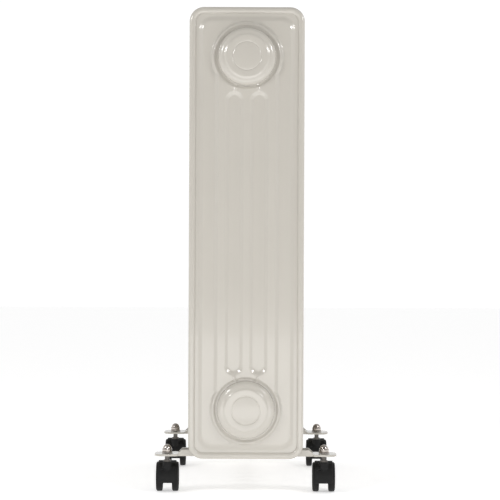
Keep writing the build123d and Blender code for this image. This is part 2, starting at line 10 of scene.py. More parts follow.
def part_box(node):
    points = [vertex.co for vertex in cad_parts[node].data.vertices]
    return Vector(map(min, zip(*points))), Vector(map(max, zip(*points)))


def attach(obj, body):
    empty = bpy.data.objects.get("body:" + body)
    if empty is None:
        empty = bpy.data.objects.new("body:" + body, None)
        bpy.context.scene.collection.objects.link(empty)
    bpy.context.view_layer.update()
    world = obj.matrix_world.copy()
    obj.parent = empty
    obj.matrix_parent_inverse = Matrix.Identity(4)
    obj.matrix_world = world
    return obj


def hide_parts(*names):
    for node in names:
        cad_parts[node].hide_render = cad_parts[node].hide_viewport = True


# Oil filled radiator heater: nine pressed steel fins on four twin-wheel casters, with a control housing
# and a carrying handle at the far end. Metres, floor at z = 0, X across a fin, Y along the row of fins.
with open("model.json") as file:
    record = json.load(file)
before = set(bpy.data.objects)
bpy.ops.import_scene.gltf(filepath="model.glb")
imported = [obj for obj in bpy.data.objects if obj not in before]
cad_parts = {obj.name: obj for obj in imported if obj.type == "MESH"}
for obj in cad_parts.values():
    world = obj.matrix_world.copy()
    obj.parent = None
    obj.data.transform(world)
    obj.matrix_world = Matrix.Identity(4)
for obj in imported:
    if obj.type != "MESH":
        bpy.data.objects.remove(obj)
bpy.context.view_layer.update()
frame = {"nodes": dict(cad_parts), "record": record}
nodes = frame["nodes"]
bodies = frame["record"]["behaviour"]["bodies"]
body_of_node = {node: body for body, members in bodies.items() for node in members}
slot_of_node = {part["node"]: part["material_slot"] for part in frame["record"]["subparts"]}


# ---------------------------------------------------------------- Fins
# Each fin is two pressed steel sheets, seam welded back to back, with a rounded bead round the rim and
# three oil channels between two header domes. The whole row is dipped in gloss ivory enamel and stoved.
FIN_HALF_WIDTH = 0.074
FIN_HALF_HEIGHT = 0.290
FIN_CORNER = 0.019
SHEET = 0.0007
BEAD_WIDTH = 0.0085
BEAD_HEIGHT = 0.0036
PANEL_MARGIN = 0.0195
PANEL_SLOPE = 0.0085
PANEL_HEIGHT = 0.0035
PANEL_CORNER = 0.010
HEADER_OFFSET = 0.226
FIELD_HEIGHT = 0.007
FIELD_HALF_WIDTH = 0.0355
FIELD_SLOPE = 0.007
RING_TOP_RADIUS = 0.0425
RING_SLOPE = 0.0040
MOAT_INSET = 0.0005
MOAT_DEPTH = 0.0013
MOAT_SLOPE = 0.0030
SLOT_CENTRE = 0.0158
SLOT_HALF_LENGTH = 0.170
SLOT_HALF_WIDTH = 0.0128
SLOT_SLOPE = 0.0066
SLOT_DEPTH = 0.0026
DOME_HEIGHT = 0.019
# Each point of a dome's half section is a radius and its drop below the crown.
GROOVE_DROPS = [
    (0.0168, 0),
    (0.0173, 0.0001),
    (0.0177, 0.0004),
    (0.0186, 0.0004),
    (0.0190, 0.0001),
    (0.0195, 0),
]
DOME_DROPS = [
    (0.0250, 0),
    (0.0258, 0.00002),
    (0.0266, 0.00012),
    (0.0273, 0.00036),
    (0.0280, 0.00074),
    (0.0287, 0.00112),
    (0.0294, 0.00136),
    (0.0302, 0.00152),
    (0.0311, 0.00170),
    (0.0320, 0.00194),
    (0.0328, 0.00226),
    (0.0337, 0.00276),
    (0.0346, 0.00346),
    (0.0354, 0.00436),
    (0.0361, 0.00546),
    (0.0366, 0.00676),
    (0.0369, 0.00816),
    (0.0370, 0.00960),
    (0.0371, 0.01150),
    (0.0373, 0.01260),
    (0.0376, 0.01330),
    (0.0381, 0.01380),
    (0.0388, 0.01405),
    (0.0392, 0.01500),
]
DOME_STEPS = 96
TIE_ANGLE = math.radians(20)
TIE_LENGTHS = (0.036, 0.0445)
TIE_HALF_WIDTH = 0.0019
TIE_HEIGHT = 0.0010

# A pressed shape needs its points close together on its slopes. These are the places of the sheet's
# lines: inwards from the rim over the bead's foot and the panel's slope, and outwards from the fin's
# middle as far as the rim's reach.
BEAD_LINES = 11
FROM_RIM = [0.0092, 0.0104, 0.0110, 0.0116, 0.0124, 0.0134, 0.0147, 0.0162, 0.0175, 0.0186, 0.0195]
RIM_REACH = 0.021
ACROSS_FROM_MIDDLE = [
    0, 0.0024, 0.0040, 0.0050, 0.0058, 0.0066, 0.0075, 0.0085, 0.0098, 0.0116, 0.0137, 0.0158, 0.0179,
    0.0200, 0.0218, 0.0231, 0.0241, 0.0250, 0.0258, 0.0266, 0.0275, 0.0290, 0.0308, 0.0325, 0.0338,
    0.0346, 0.0356, 0.0368, 0.0382, 0.0396, 0.0409, 0.0419, 0.0426, 0.0438, 0.0455, 0.0480, 0.0505,
    0.0525,
]
ALONG_FROM_MIDDLE = [
    *np.arange(0, 0.160, 0.016),
    *np.arange(0.1620, 0.1860, 0.0011),
    *np.arange(0.1860, 0.2690, 0.0016),
]
# Points nearer than these are one: the two sheets' at their seam, and a turned piece's at its poles.
SHEET_GAP = 0.000002
POINT_GAP = 0.000001


def pressed_slope(share, soft=0.34):
    """The height share up a pressed slope, straight in the middle and rolled at its foot and crest."""
    share = np.clip(share, 0, 1)
    steep = 1 / (1 - soft)
    foot = steep * share**2 / (2 * soft)
    crest = 1 - steep * (1 - share) ** 2 / (2 * soft)
    straight = steep * (share - soft / 2)
    return np.where(share < soft, foot, np.where(share > 1 - soft, crest, straight))


def beyond_rectangle(x, z, half_width, half_height, corner):
    """The distance outside a rectangle with rounded corners, negative inside it."""
    over_x = np.abs(x) - half_width + corner
    over_z = np.abs(z) - half_height + corner
    outside = np.hypot(np.maximum(over_x, 0), np.maximum(over_z, 0))
    return outside + np.minimum(np.maximum(over_x, over_z), 0) - corner


def press_depth(x, z):
    """How far the press pushes the sheet out from the seam at a place on the fin."""
    from_edge = -beyond_rectangle(x, z, FIN_HALF_WIDTH, FIN_HALF_HEIGHT, FIN_CORNER)
    across_bead = (from_edge - BEAD_WIDTH / 2) / (BEAD_WIDTH / 2)
    bead = BEAD_HEIGHT * np.sqrt(np.clip(1 - across_bead**2, 0, 1))
    seam = np.where(from_edge > BEAD_WIDTH / 2, SHEET, 0)
    beyond_panel = beyond_rectangle(
        x, z, FIN_HALF_WIDTH - PANEL_MARGIN, FIN_HALF_HEIGHT - PANEL_MARGIN, PANEL_CORNER
    )
    depth = np.maximum(bead, seam)
    depth = depth + (PANEL_HEIGHT - SHEET) * pressed_slope(1 - beyond_panel / PANEL_SLOPE)
    from_header = np.hypot(x, np.abs(z) - HEADER_OFFSET)
    beyond_ring = (from_header - RING_TOP_RADIUS) / RING_SLOPE
    beyond_band = np.where(np.abs(z) < HEADER_OFFSET, (np.abs(x) - FIELD_HALF_WIDTH) / FIELD_SLOPE, 1)
    field = pressed_slope(1 - np.minimum(beyond_ring, beyond_band))
    depth = depth + (FIELD_HEIGHT - PANEL_HEIGHT) * field
    moat = pressed_slope((RING_TOP_RADIUS - MOAT_INSET - from_header) / MOAT_SLOPE)
    depth = depth - MOAT_DEPTH * moat
    beyond_slot_end = np.maximum(np.abs(z) - SLOT_HALF_LENGTH, 0)
    from_slot = np.hypot(np.abs(x) - SLOT_CENTRE, beyond_slot_end)
    slot = pressed_slope((SLOT_HALF_WIDTH - from_slot) / SLOT_SLOPE)
    depth = depth - SLOT_DEPTH * slot
    along = np.abs(x) * math.sin(TIE_ANGLE) + (HEADER_OFFSET - np.abs(z)) * math.cos(TIE_ANGLE)
    aside = np.abs(x) * math.cos(TIE_ANGLE) - (HEADER_OFFSET - np.abs(z)) * math.sin(TIE_ANGLE)
    past_tie = along - np.clip(along, *TIE_LENGTHS)
    tie = np.clip(1 - (aside**2 + past_tie**2) / TIE_HALF_WIDTH**2, 0, 1)
    return depth + TIE_HEIGHT * tie * (1 - slot)


def lines_across(half_size, from_middle):
    """Places of the sheet's lines in one direction from edge to edge, close together over the bead."""
    turns = np.linspace(0, math.pi, BEAD_LINES)
    from_edge = [*(BEAD_WIDTH / 2 * (1 - np.cos(turns))), *FROM_RIM]
    rim = [half_size - distance for distance in from_edge]
    inner = [distance for distance in from_middle if distance < half_size - RIM_REACH]
    half = sorted({*rim, *inner})
    return np.array([-place for place in reversed(half) if place > 0] + half)


def pressed_sheet(across, along):
    """One sheet of a fin as a grid on the given lines, its corners rounded and its shapes pressed."""
    sheet = bmesh.new()
    columns, rows = len(across) - 1, len(along) - 1
    bmesh.ops.create_grid(sheet, x_segments=columns, y_segments=rows, size=1)
    for point in sheet.verts:
        point.co.x = across[round((point.co.x + 1) / 2 * columns)]
        point.co.z = along[round((point.co.y + 1) / 2 * rows)]
    for point in sheet.verts:
        past_x = (abs(point.co.x) - FIN_HALF_WIDTH + FIN_CORNER) / FIN_CORNER
        past_z = (abs(point.co.z) - FIN_HALF_HEIGHT + FIN_CORNER) / FIN_CORNER
        if past_x > 0 and past_z > 0:
            reach = max(past_x, past_z)
            turn = math.pi / 4 * min(past_x, past_z) / reach
            turn = turn if past_x > past_z else math.pi / 2 - turn
            moved_x = (reach * math.cos(turn) - past_x) * FIN_CORNER
            moved_z = (reach * math.sin(turn) - past_z) * FIN_CORNER
            point.co.x += moved_x if point.co.x > 0 else -moved_x
            point.co.z += moved_z if point.co.z > 0 else -moved_z
    places = np.array([point.co for point in sheet.verts])
    depths = press_depth(places[:, 0], places[:, 2])
    for point, depth in zip(sheet.verts, depths):
        point.co.y = -depth
    return sheet


def turned(outline, steps):
    """A closed piece turned about +Z from the radius and height of each point of its half section."""
    piece = bmesh.new()
    points = [piece.verts.new((radius, 0, height)) for radius, height in outline]
    edges = [piece.edges.new(pair) for pair in zip(points, points[1:])]
    bmesh.ops.spin(
        piece,
        geom=points + edges,
        cent=(0, 0, 0),
        axis=(0, 0, 1),
        angle=math.tau,
        steps=steps,
        use_merge=True,
    )
    bmesh.ops.remove_doubles(piece, verts=piece.verts, dist=POINT_GAP)
    bmesh.ops.recalc_face_normals(piece, faces=piece.faces)
    return piece


def mesh_of(piece, name):
    """The finished mesh of a bmesh."""
    mesh = bpy.data.meshes.new(name)
    piece.to_mesh(mesh)
    return mesh


def header_dome(grooved):
    """The domed end of a header, turned about its axis from a half section that starts at the crown."""
    foot_drop = DOME_DROPS[-1][1]
    drops = [(0, 0), *(GROOVE_DROPS if grooved else []), *DOME_DROPS, (0, foot_drop)]
    dome = turned([(radius, DOME_HEIGHT - drop) for radius, drop in drops], DOME_STEPS)
    bmesh.ops.transform(dome, matrix=Matrix.Rotation(math.pi / 2, 4, "X"), verts=dome.verts)
    return dome


def add_to(target, source, place):
    """Adds a copy of one bmesh, moved to its place, to another."""
    mesh = mesh_of(source, "copy")
    mesh.transform(place)
    if place.determinant() < 0:
        mesh.flip_normals()
    target.from_mesh(mesh)
    bpy.data.meshes.remove(mesh)


sheet_mesh = pressed_sheet(
    lines_across(FIN_HALF_WIDTH, ACROSS_FROM_MIDDLE),
    lines_across(FIN_HALF_HEIGHT, ALONG_FROM_MIDDLE),
)
turned_back = Matrix.Diagonal((1, -1, 1, 1))


def fin_mesh(name, grooved):
    """Both sheets of a fin with their four domes, about the fin's own middle."""
    fin = bmesh.new()
    add_to(fin, sheet_mesh, Matrix.Identity(4))
    add_to(fin, sheet_mesh, turned_back)
    bmesh.ops.remove_doubles(fin, verts=fin.verts, dist=SHEET_GAP)
    plain_dome = header_dome(grooved=False)
    end_dome = header_dome(grooved=True) if grooved else plain_dome
    for level in (-HEADER_OFFSET, HEADER_OFFSET):
        add_to(fin, end_dome, Matrix.Translation((0, 0, level)))
        add_to(fin, plain_dome, Matrix.Translation((0, 0, level)) @ turned_back)
    mesh = mesh_of(fin, name)
    mesh.shade_smooth()
    return mesh


def sheet_directions(mesh):
    """The directions that a fin faces at its points, on the pressed sheets from the slope of the press."""
    directions = np.array([point.normal for point in mesh.vertices])
    places = np.array([point.co for point in mesh.vertices])
    step = 0.00004
    x, z = places[:, 0], places[:, 2]
    rise_x = (press_depth(x + step, z) - press_depth(x - step, z)) / (2 * step)
    rise_z = (press_depth(x, z + step) - press_depth(x, z - step)) / (2 * step)
    side = np.where(places[:, 1] > 0, 1.0, -1.0)
    faced = np.stack([-rise_x, side, -rise_z], axis=1)
    faced /= np.linalg.norm(faced, axis=1, keepdims=True)
    pressed = np.abs(np.abs(places[:, 1]) - press_depth(x, z)) < SHEET_GAP
    pressed &= np.abs(places[:, 1]) > POINT_GAP
    directions[pressed] = faced[pressed]
    return directions


def set_inputs(node, values):
    """Sets the named inputs of a node."""
    for name, value in values.items():
        node.inputs[name].default_value = value


def new_finish(name):
    """A new material, its node tree, its shader and the place on the piece that its patterns follow."""
    finish = bpy.data.materials.new(name)
    finish.use_nodes = True
    tree = finish.node_tree
    place = tree.nodes.new("ShaderNodeTexCoord").outputs["Object"]
    return finish, tree, tree.nodes["Principled BSDF"], place


def cloudy(tree, place, scale, detail=2, distortion=0):
    """A soft irregular pattern over the piece."""
    noise = tree.nodes.new("ShaderNodeTexNoise")
    set_inputs(noise, {"Scale": scale, "Detail": detail, "Distortion": distortion})
    tree.links.new(place, noise.inputs["Vector"])
    return noise.outputs["Fac"]


def vary_colour(tree, shader, pattern, colour, shares, ends=(0, 1)):
    """Runs the colour between two shares of itself as the pattern goes from one end to the other."""
    tone = tree.nodes.new("ShaderNodeValToRGB")
    for stop, share, end in zip(tone.color_ramp.elements, shares, ends):
        stop.position = end
        stop.color = (*[min(1, value * share) for value in colour], 1)
    tree.links.new(pattern, tone.inputs["Fac"])
    tree.links.new(tone.outputs["Color"], shader.inputs["Base Color"])


def vary_gloss(tree, shader, pattern, roughness, shares):
    """Runs the roughness between two shares of itself with the pattern."""
    gloss = tree.nodes.new("ShaderNodeMapRange")
    set_inputs(gloss, {"To Min": roughness * shares[0], "To Max": roughness * shares[1]})
    tree.links.new(pattern, gloss.inputs["Value"])
    tree.links.new(gloss.outputs["Result"], shader.inputs["Roughness"])


def raise_skin(tree, shader, pattern, strength, height):
    """Lets the pattern stand up from the surface by a very small height."""
    bump = tree.nodes.new("ShaderNodeBump")
    set_inputs(bump, {"Strength": strength, "Distance": height})
    tree.links.new(pattern, bump.inputs["Height"])
    tree.links.new(bump.outputs["Normal"], shader.inputs["Normal"])


def enamel(name, colour, roughness, peel):
    """Stoved gloss enamel: an even colour with a faint orange peel and slight pooling of the gloss."""
    finish, tree, shader, place = new_finish(name)
    pooling = cloudy(tree, place, scale=9, detail=3)
    vary_colour(tree, shader, pooling, colour, shares=(0.975, 1), ends=(0.3, 0.7))
    vary_gloss(tree, shader, pooling, roughness, shares=(0.85, 1.15))
    orange_peel = cloudy(tree, place, scale=420)
    raise_skin(tree, shader, orange_peel, strength=peel, height=0.0002)
    set_inputs(shader, {"IOR": 1.5, "Coat Weight": 0.6, "Coat Roughness": 0.05})
    return finish


def new_object(name, data):
    """A new object in the scene."""
    thing = bpy.data.objects.new(name, data)
    bpy.context.collection.objects.link(thing)
    return thing


def stands_for(piece_name, mesh, node, finish):
    """Puts a finished mesh with the given finish in a node's place, on the same body, and hides the node."""
    mesh.materials.append(finish)
    piece = new_object(piece_name, mesh)
    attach(piece, body_of_node[node])
    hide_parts(node)
    return piece


IVORY = (0.545, 0.516, 0.463)
fin_enamel = enamel("fin_enamel", IVORY, roughness=0.20, peel=0.10)
fin_names = sorted((name for name in nodes if name.startswith("fin_")), key=lambda name: int(name[4:]))
end_fin = fin_mesh("end_fin", grooved=True)
inner_fin = fin_mesh("inner_fin", grooved=False)
end_directions = sheet_directions(end_fin)
inner_directions = sheet_directions(inner_fin)
for name in fin_names:
    low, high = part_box(name)
    is_end = name == fin_names[0]
    mesh = (end_fin if is_end else inner_fin).copy()
    mesh.normals_split_custom_set_from_vertices(end_directions if is_end else inner_directions)
    mesh.transform(Matrix.Translation((low + high) / 2))
    stands_for(f"pressed_{name}", mesh, name, fin_enamel)


# ---------------------------------------------------------------- Foot brackets
# Two pressed steel plates under the fins with turned-up edges, enamelled with the row. Their sheared
# edges are rolled over by the tumbling before the enamel.
BRACKET_TONE = 0.92
BRACKET_EDGE = 0.0005
EDGE_ANGLE = math.radians(32)
FLAT_ANGLE = math.radians(0.3)
TRIANGLE_GAP = 0.00001


def softened(node, edge_radius, finish):
    """A copy of a node with its points joined and its sharp edges broken by a small radius."""
    joined = bmesh.new()
    joined.from_mesh(nodes[node].data)
    bmesh.ops.remove_doubles(joined, verts=joined.verts, dist=TRIANGLE_GAP)
    bmesh.ops.dissolve_limit(
        joined,
        angle_limit=FLAT_ANGLE,
        verts=joined.verts,
        edges=joined.edges,
        delimit={"NORMAL"},
    )
    bmesh.ops.recalc_face_normals(joined, faces=joined.faces)
    mesh = mesh_of(joined, f"softened_{node}")
    mesh.materials.clear()
    mesh.shade_smooth()
    mesh.set_sharp_from_angle(angle=EDGE_ANGLE)
    piece = stands_for(f"softened_{node}", mesh, node, finish)
    edge = piece.modifiers.new("broken_edges", "BEVEL")
    edge.width = edge_radius
    edge.segments = 3
    edge.limit_method = "ANGLE"
    edge.angle_limit = EDGE_ANGLE
    edge.use_clamp_overlap = False
    edge.harden_normals = True
    return piece


bracket_ivory = [value * BRACKET_TONE for value in IVORY]
bracket_enamel = enamel("bracket_enamel", bracket_ivory, roughness=0.26, peel=0.14)
for name in ("foot_bracket_front", "foot_bracket_rear"):
    softened(name, BRACKET_EDGE, bracket_enamel)


# ---------------------------------------------------------------- Metal fasteners and inner metal parts
# U-bolts, nuts, axles and screws are bright zinc plated steel, the caster stems are dark zinc painted
# near black as painted shade for the shadow under the brackets, and the cap nuts are polished chrome.
# The heating elements are drawn tube, and the flange and the filling plug are turned brass.
def plated(name, colour, roughness, grain, brushed=0.0):
    """Plated or turned metal: small shifts of tone and gloss, fine pits, and drawing lines if brushed."""
    finish, tree, shader, place = new_finish(name)
    tarnish = cloudy(tree, place, scale=grain, detail=5, distortion=0.6)
    vary_colour(tree, shader, tarnish, colour, shares=(0.86, 1), ends=(0.3, 0.72))
    vary_gloss(tree, shader, tarnish, roughness, shares=(0.7, 1.4))
    pits = cloudy(tree, place, scale=grain * 9)
    raise_skin(tree, shader, pits, strength=0.08 + brushed, height=0.0001)
    set_inputs(shader, {"Metallic": 1})
    return finish


finish_of_slot = {
    "zinc_steel": plated("bright_zinc", (0.40, 0.38, 0.36), roughness=0.30, grain=120),
    "chrome": plated("polished_chrome", (0.60, 0.55, 0.51), roughness=0.09, grain=60),
    # The stems' zinc is near black: dark zinc with painted shade for the shadow under the brackets.
    "dark_zinc_and_shade": plated("dark_zinc_and_shade", (0.14, 0.13, 0.12), roughness=0.34, grain=120),
    "element_steel": plated("drawn_tube", (0.42, 0.41, 0.40), roughness=0.32, grain=90, brushed=0.15),
    "plug_brass": plated("turned_brass", (0.72, 0.55, 0.28), roughness=0.24, grain=110, brushed=0.1),
}


# ---------------------------------------------------------------- Cap nuts
# Flanged cap nuts on the upper ends of the caster stems, which pass up through the brackets. Each is
# cold formed, with a hexagon under a domed cap, then polished.
CAP_OUTLINE = [
    (0, 0.0005),
    (0.0068, 0.0005),
    (0.0071, 0.0008),
    (0.0071, 0.0011),
    (0.0067, 0.0017),
    (0.0059, 0.0021),
    (0.0058, 0.0046),
    (0.0057, 0.0062),
    (0.0053, 0.0077),
    (0.0045, 0.0091),
    (0.0035, 0.0101),
    (0.0024, 0.0108),
    (0.0012, 0.0112),
    (0, 0.0113),
]
CAP_STEPS = 48
HEX_HALF_FLATS = 0.0061
HEX_CORNER_RADIUS = HEX_HALF_FLATS / math.cos(math.pi / 6)
HEX_HEIGHT = 0.0048
HEX_MIDDLE = 0.0038
HEX_EDGE = 0.0004
CASTER_PLACES = ("front_left", "front_right", "rear_left", "rear_right")


def round_edges(piece, radius, segments):
    """Rounds every edge of a bmesh."""
    bmesh.ops.bevel(
        piece,
        geom=piece.edges[:],
        offset=radius,
        segments=segments,
        profile=0.5,
        affect="EDGES",
        material=-1,
    )


cap = turned(CAP_OUTLINE, CAP_STEPS)
hexagon = bmesh.new()
bmesh.ops.create_cone(
    hexagon,
    cap_ends=True,
    segments=6,
    radius1=HEX_CORNER_RADIUS,
    radius2=HEX_CORNER_RADIUS,
    depth=HEX_HEIGHT,
    matrix=Matrix.Translation((0, 0, HEX_MIDDLE)),
)
round_edges(hexagon, HEX_EDGE, segments=2)
nuts_low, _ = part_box("acorn_nuts")
cap_nuts = bmesh.new()
for place in CASTER_PLACES:
    low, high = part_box(f"caster_{place}_stem")
    on_stem = Matrix.Translation(((low.x + high.x) / 2, (low.y + high.y) / 2, nuts_low.z))
    add_to(cap_nuts, cap, on_stem)
    add_to(cap_nuts, hexagon, on_stem)
cap_mesh = mesh_of(cap_nuts, "domed_cap_nuts")
cap_mesh.shade_smooth()
cap_mesh.set_sharp_from_angle(angle=EDGE_ANGLE)
stands_for("domed_cap_nuts", cap_mesh, "acorn_nuts", finish_of_slot["chrome"])


# ---------------------------------------------------------------- Moulded plastics
# The housing is semi-gloss ABS, the fascia and the handle satin ABS with a spark-eroded grain, and the
# casters glass-filled nylon. Grain, flow marks and gloss change a little over each moulding.
# The knob is a touch lighter than the cover.
KNOB_TONE = 1.02
knob_ivory = [value * KNOB_TONE for value in IVORY]


def moulded(name, colour, roughness, grain, coat=0.0, shine=0.5):
    """Moulded plastic: a fine even grain, faint flow marks and a slightly uneven gloss."""
    finish, tree, shader, place = new_finish(name)
    flow = cloudy(tree, place, scale=14, detail=4, distortion=0.8)
    vary_colour(tree, shader, flow, colour, shares=(0.93, 1.04), ends=(0.3, 0.7))
    vary_gloss(tree, shader, flow, roughness, shares=(0.85, 1.2))
    eroded = tree.nodes.new("ShaderNodeTexVoronoi")
    set_inputs(eroded, {"Scale": 1400})
    tree.links.new(place, eroded.inputs["Vector"])
    raise_skin(tree, shader, eroded.outputs["Distance"], strength=grain, height=0.0001)
    set_inputs(shader, {"IOR": 1.48, "Specular IOR Level": shine, "Coat Weight": coat})
    return finish


finish_of_slot.update(
    {
        "caster_black": moulded("hood_nylon", (0.009, 0.009, 0.009), roughness=0.46, grain=0.20, shine=0.22),
        "wheel_black": moulded("wheel_nylon", (0.010, 0.010, 0.010), roughness=0.52, grain=0.20, shine=0.22),
        "cover_ivory": moulded("cover_abs", IVORY, roughness=0.30, grain=0.06, coat=0.2),
        "fascia_grey": moulded("fascia_abs", (0.055, 0.056, 0.060), roughness=0.44, grain=0.30),
        "handle_black": moulded("handle_abs", (0.020, 0.020, 0.021), roughness=0.40, grain=0.30),
        "knob_ivory": moulded("knob_abs", knob_ivory, roughness=0.28, grain=0.05, coat=0.3),
        "switch_black": moulded("switch_nylon", (0.014, 0.014, 0.015), roughness=0.22, grain=0.08),
        "ceramic_white": moulded("steatite", (0.74, 0.73, 0.69), roughness=0.62, grain=0.40),
        "inner_white": moulded("inner_nylon", (0.70, 0.69, 0.65), roughness=0.48, grain=0.20),
    }
)


# ---------------------------------------------------------------- Lit plastics
# The rockers and the lamp lens are clear coloured plastic with a neon lamp behind. Unlit, they look deep
# and slightly cloudy.
def tinted(name, colour):
    """Coloured clear plastic that lets part of the light through, with faint moulding ripples."""
    finish, tree, shader, place = new_finish(name)
    ripple = cloudy(tree, place, scale=160)
    vary_colour(tree, shader, ripple, colour, shares=(0.8, 1))
    raise_skin(tree, shader, ripple, strength=0.1, height=0.0002)
    set_inputs(shader, {"Roughness": 0.14, "IOR": 1.49, "Transmission Weight": 0.35, "Coat Weight": 0.5})
    return finish


finish_of_slot["rocker_red"] = tinted("rocker_red", (0.55, 0.015, 0.010))
finish_of_slot["lamp_amber"] = tinted("lamp_amber", (0.85, 0.24, 0.02))


# ---------------------------------------------------------------- Casters
# Each caster is a moulded hood with two loose wheels on a plain steel axle. The wheel's tread is rounded,
# and its outer face is dished between the rim and the hub cap.
WHEEL_OUTLINE = [
    (0, 0.0060),
    (0.00255, 0.0060),
    (0.00255, 0.0),
    (0.0120, 0.0),
    (0.0126, 0.0006),
    (0.0158, 0.0006),
    (0.0164, 0.0),
    (0.0172, 0.0),
    (0.0181, 0.0003),
    (0.0187, 0.0009),
    (0.0190, 0.0018),
    (0.0190, 0.0064),
    (0.0187, 0.0073),
    (0.0181, 0.0079),
    (0.0172, 0.00825),
    (0.0146, 0.00825),
    (0.0140, 0.0080),
    (0.0136, 0.0070),
    (0.0130, 0.0066),
    (0.0076, 0.0066),
    (0.0070, 0.0069),
    (0.0066, 0.0077),
    (0.0060, 0.0080),
    (0.0030, 0.0081),
    (0, 0.0081),
]
WHEEL_STEPS = 64
WHEEL_SHARP_ANGLE = math.radians(50)
HOOD_EDGE = 0.0005
for place in CASTER_PLACES:
    softened(f"caster_{place}_hood", HOOD_EDGE, finish_of_slot["caster_black"])
    for side, turn in (("left", -1), ("right", 1)):
        node = f"caster_{place}_wheel_{side}"
        low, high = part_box(node)
        inner_face = high.x if side == "left" else low.x
        wheel = turned(WHEEL_OUTLINE, WHEEL_STEPS)
        outwards = Matrix.Rotation(turn * math.pi / 2, 4, "Y")
        middle = Vector((inner_face, (low.y + high.y) / 2, (low.z + high.z) / 2))
        bmesh.ops.transform(wheel, matrix=Matrix.Translation(middle) @ outwards, verts=wheel.verts)
        mesh = mesh_of(wheel, f"turned_{node}")
        mesh.shade_smooth()
        mesh.set_sharp_from_angle(angle=WHEEL_SHARP_ANGLE)
        stands_for(f"turned_{node}", mesh, node, finish_of_slot["wheel_black"])


# ---------------------------------------------------------------- Controls
# Thermostat knob: moulded, with a skirt, forty finger flutes and a raised pointer, pressed on its shaft.
# The fascia carries a printed scale round it and the switches' printed positions.
KNOB_OUTLINE = [
    (0, 0),
    (0.0240, 0),
    (0.0247, 0.0004),
    (0.0250, 0.0012),
    (0.0246, 0.0022),
    (0.0236, 0.0029),
    (0.0216, 0.0033),
    (0.0211, 0.0040),
    (0.0208, 0.0052),
    (0.0204, 0.0128),
    (0.0200, 0.0142),
    (0.0192, 0.0152),
    (0.0180, 0.0157),
    (0.0168, 0.0158),
    (0.0160, 0.0155),
    (0.0150, 0.0153),
    (0, 0.0153),
]
FLUTES = 40
STEPS_PER_FLUTE = 6
FLUTE_DEPTH = 0.0007
FLUTED_FROM_RADIUS = 0.0190
FLUTED_HEIGHTS = (0.0036, 0.0150)
POINTER_PLACE = (0, 0.0098, 0.0157)
POINTER_SIZE = (0.0030, 0.0186, 0.0024)
POINTER_EDGE = 0.0008
KNOB_SHARP_ANGLE = math.radians(40)
KNOB_REST_TURN = math.radians(135)
low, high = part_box("thermostat_knob")
knob_centre = Vector(((low.x + high.x) / 2, low.y, (low.z + high.z) / 2))
knob = turned(KNOB_OUTLINE, FLUTES * STEPS_PER_FLUTE)
for point in knob.verts:
    radius = math.hypot(point.co.x, point.co.y)
    if radius > FLUTED_FROM_RADIUS and FLUTED_HEIGHTS[0] < point.co.z < FLUTED_HEIGHTS[1]:
        turn = math.atan2(point.co.y, point.co.x)
        drawn_in = 1 - FLUTE_DEPTH / radius * (0.5 + 0.5 * math.cos(turn * FLUTES)) ** 2
        point.co.x *= drawn_in
        point.co.y *= drawn_in
pointer = bmesh.new()
pointer_place = Matrix.Translation(POINTER_PLACE) @ Matrix.Diagonal((*POINTER_SIZE, 1))
bmesh.ops.create_cube(pointer, size=1, matrix=pointer_place)
round_edges(pointer, POINTER_EDGE, segments=3)
knob.from_mesh(mesh_of(pointer, "pointer"))
facing_out = Matrix.Rotation(math.pi, 4, "Z") @ Matrix.Rotation(math.pi / 2, 4, "X")
at_rest = Matrix.Rotation(KNOB_REST_TURN, 4, "Z")
bmesh.ops.transform(knob, matrix=Matrix.Translation(knob_centre) @ facing_out @ at_rest, verts=knob.verts)
knob_mesh = mesh_of(knob, "fluted_knob")
knob_mesh.shade_smooth()
knob_mesh.set_sharp_from_angle(angle=KNOB_SHARP_ANGLE)
stands_for("fluted_knob", knob_mesh, "thermostat_knob", finish_of_slot["knob_ivory"])

ROCKER_EDGE = 0.0004
SWITCH_EDGE = 0.0003
for name in ("rocker_high", "rocker_low"):
    softened(name, ROCKER_EDGE, finish_of_slot["rocker_red"])
for name in ("switch_housing_high", "switch_housing_low"):
    softened(name, SWITCH_EDGE, finish_of_slot["switch_black"])

INK = 0.00006
SCALE_START = math.radians(225)
SCALE_SWEEP = math.radians(270)
SCALE_STEPS = 24
STEPS_PER_NUMBER = 4
MARK_START_RADIUS = 0.0272
LONG_MARK = 0.0042
SHORT_MARK = 0.0022
MARK_WIDTH = 0.0006
NUMBER_RADIUS = 0.0362
NUMBER_SIZE = 0.0062
SWITCH_LETTER_SIZE = 0.0060
SWITCH_LETTER_GAP = 0.0060
print_ink = moulded("print_ink", (0.72, 0.72, 0.70), roughness=0.55, grain=0.05)
_, fascia_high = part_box("fascia")
printed = bmesh.new()


def print_text(words, size, across, height):
    """Adds printed characters to the fascia's face, centred at a place across and above the floor."""
    letters = bpy.data.curves.new(f"print_{words}", "FONT")
    letters.body = words
    letters.size = size
    letters.align_x = "CENTER"
    letters.align_y = "CENTER"
    letters.extrude = INK / 2
    holder = bpy.data.objects.new(f"print_{words}", letters)
    outline = bpy.data.meshes.new_from_object(holder)
    outline.transform(Matrix.Translation((across, fascia_high.y + INK, height)) @ facing_out)
    printed.from_mesh(outline)
    bpy.data.objects.remove(holder)
    bpy.data.curves.remove(letters)


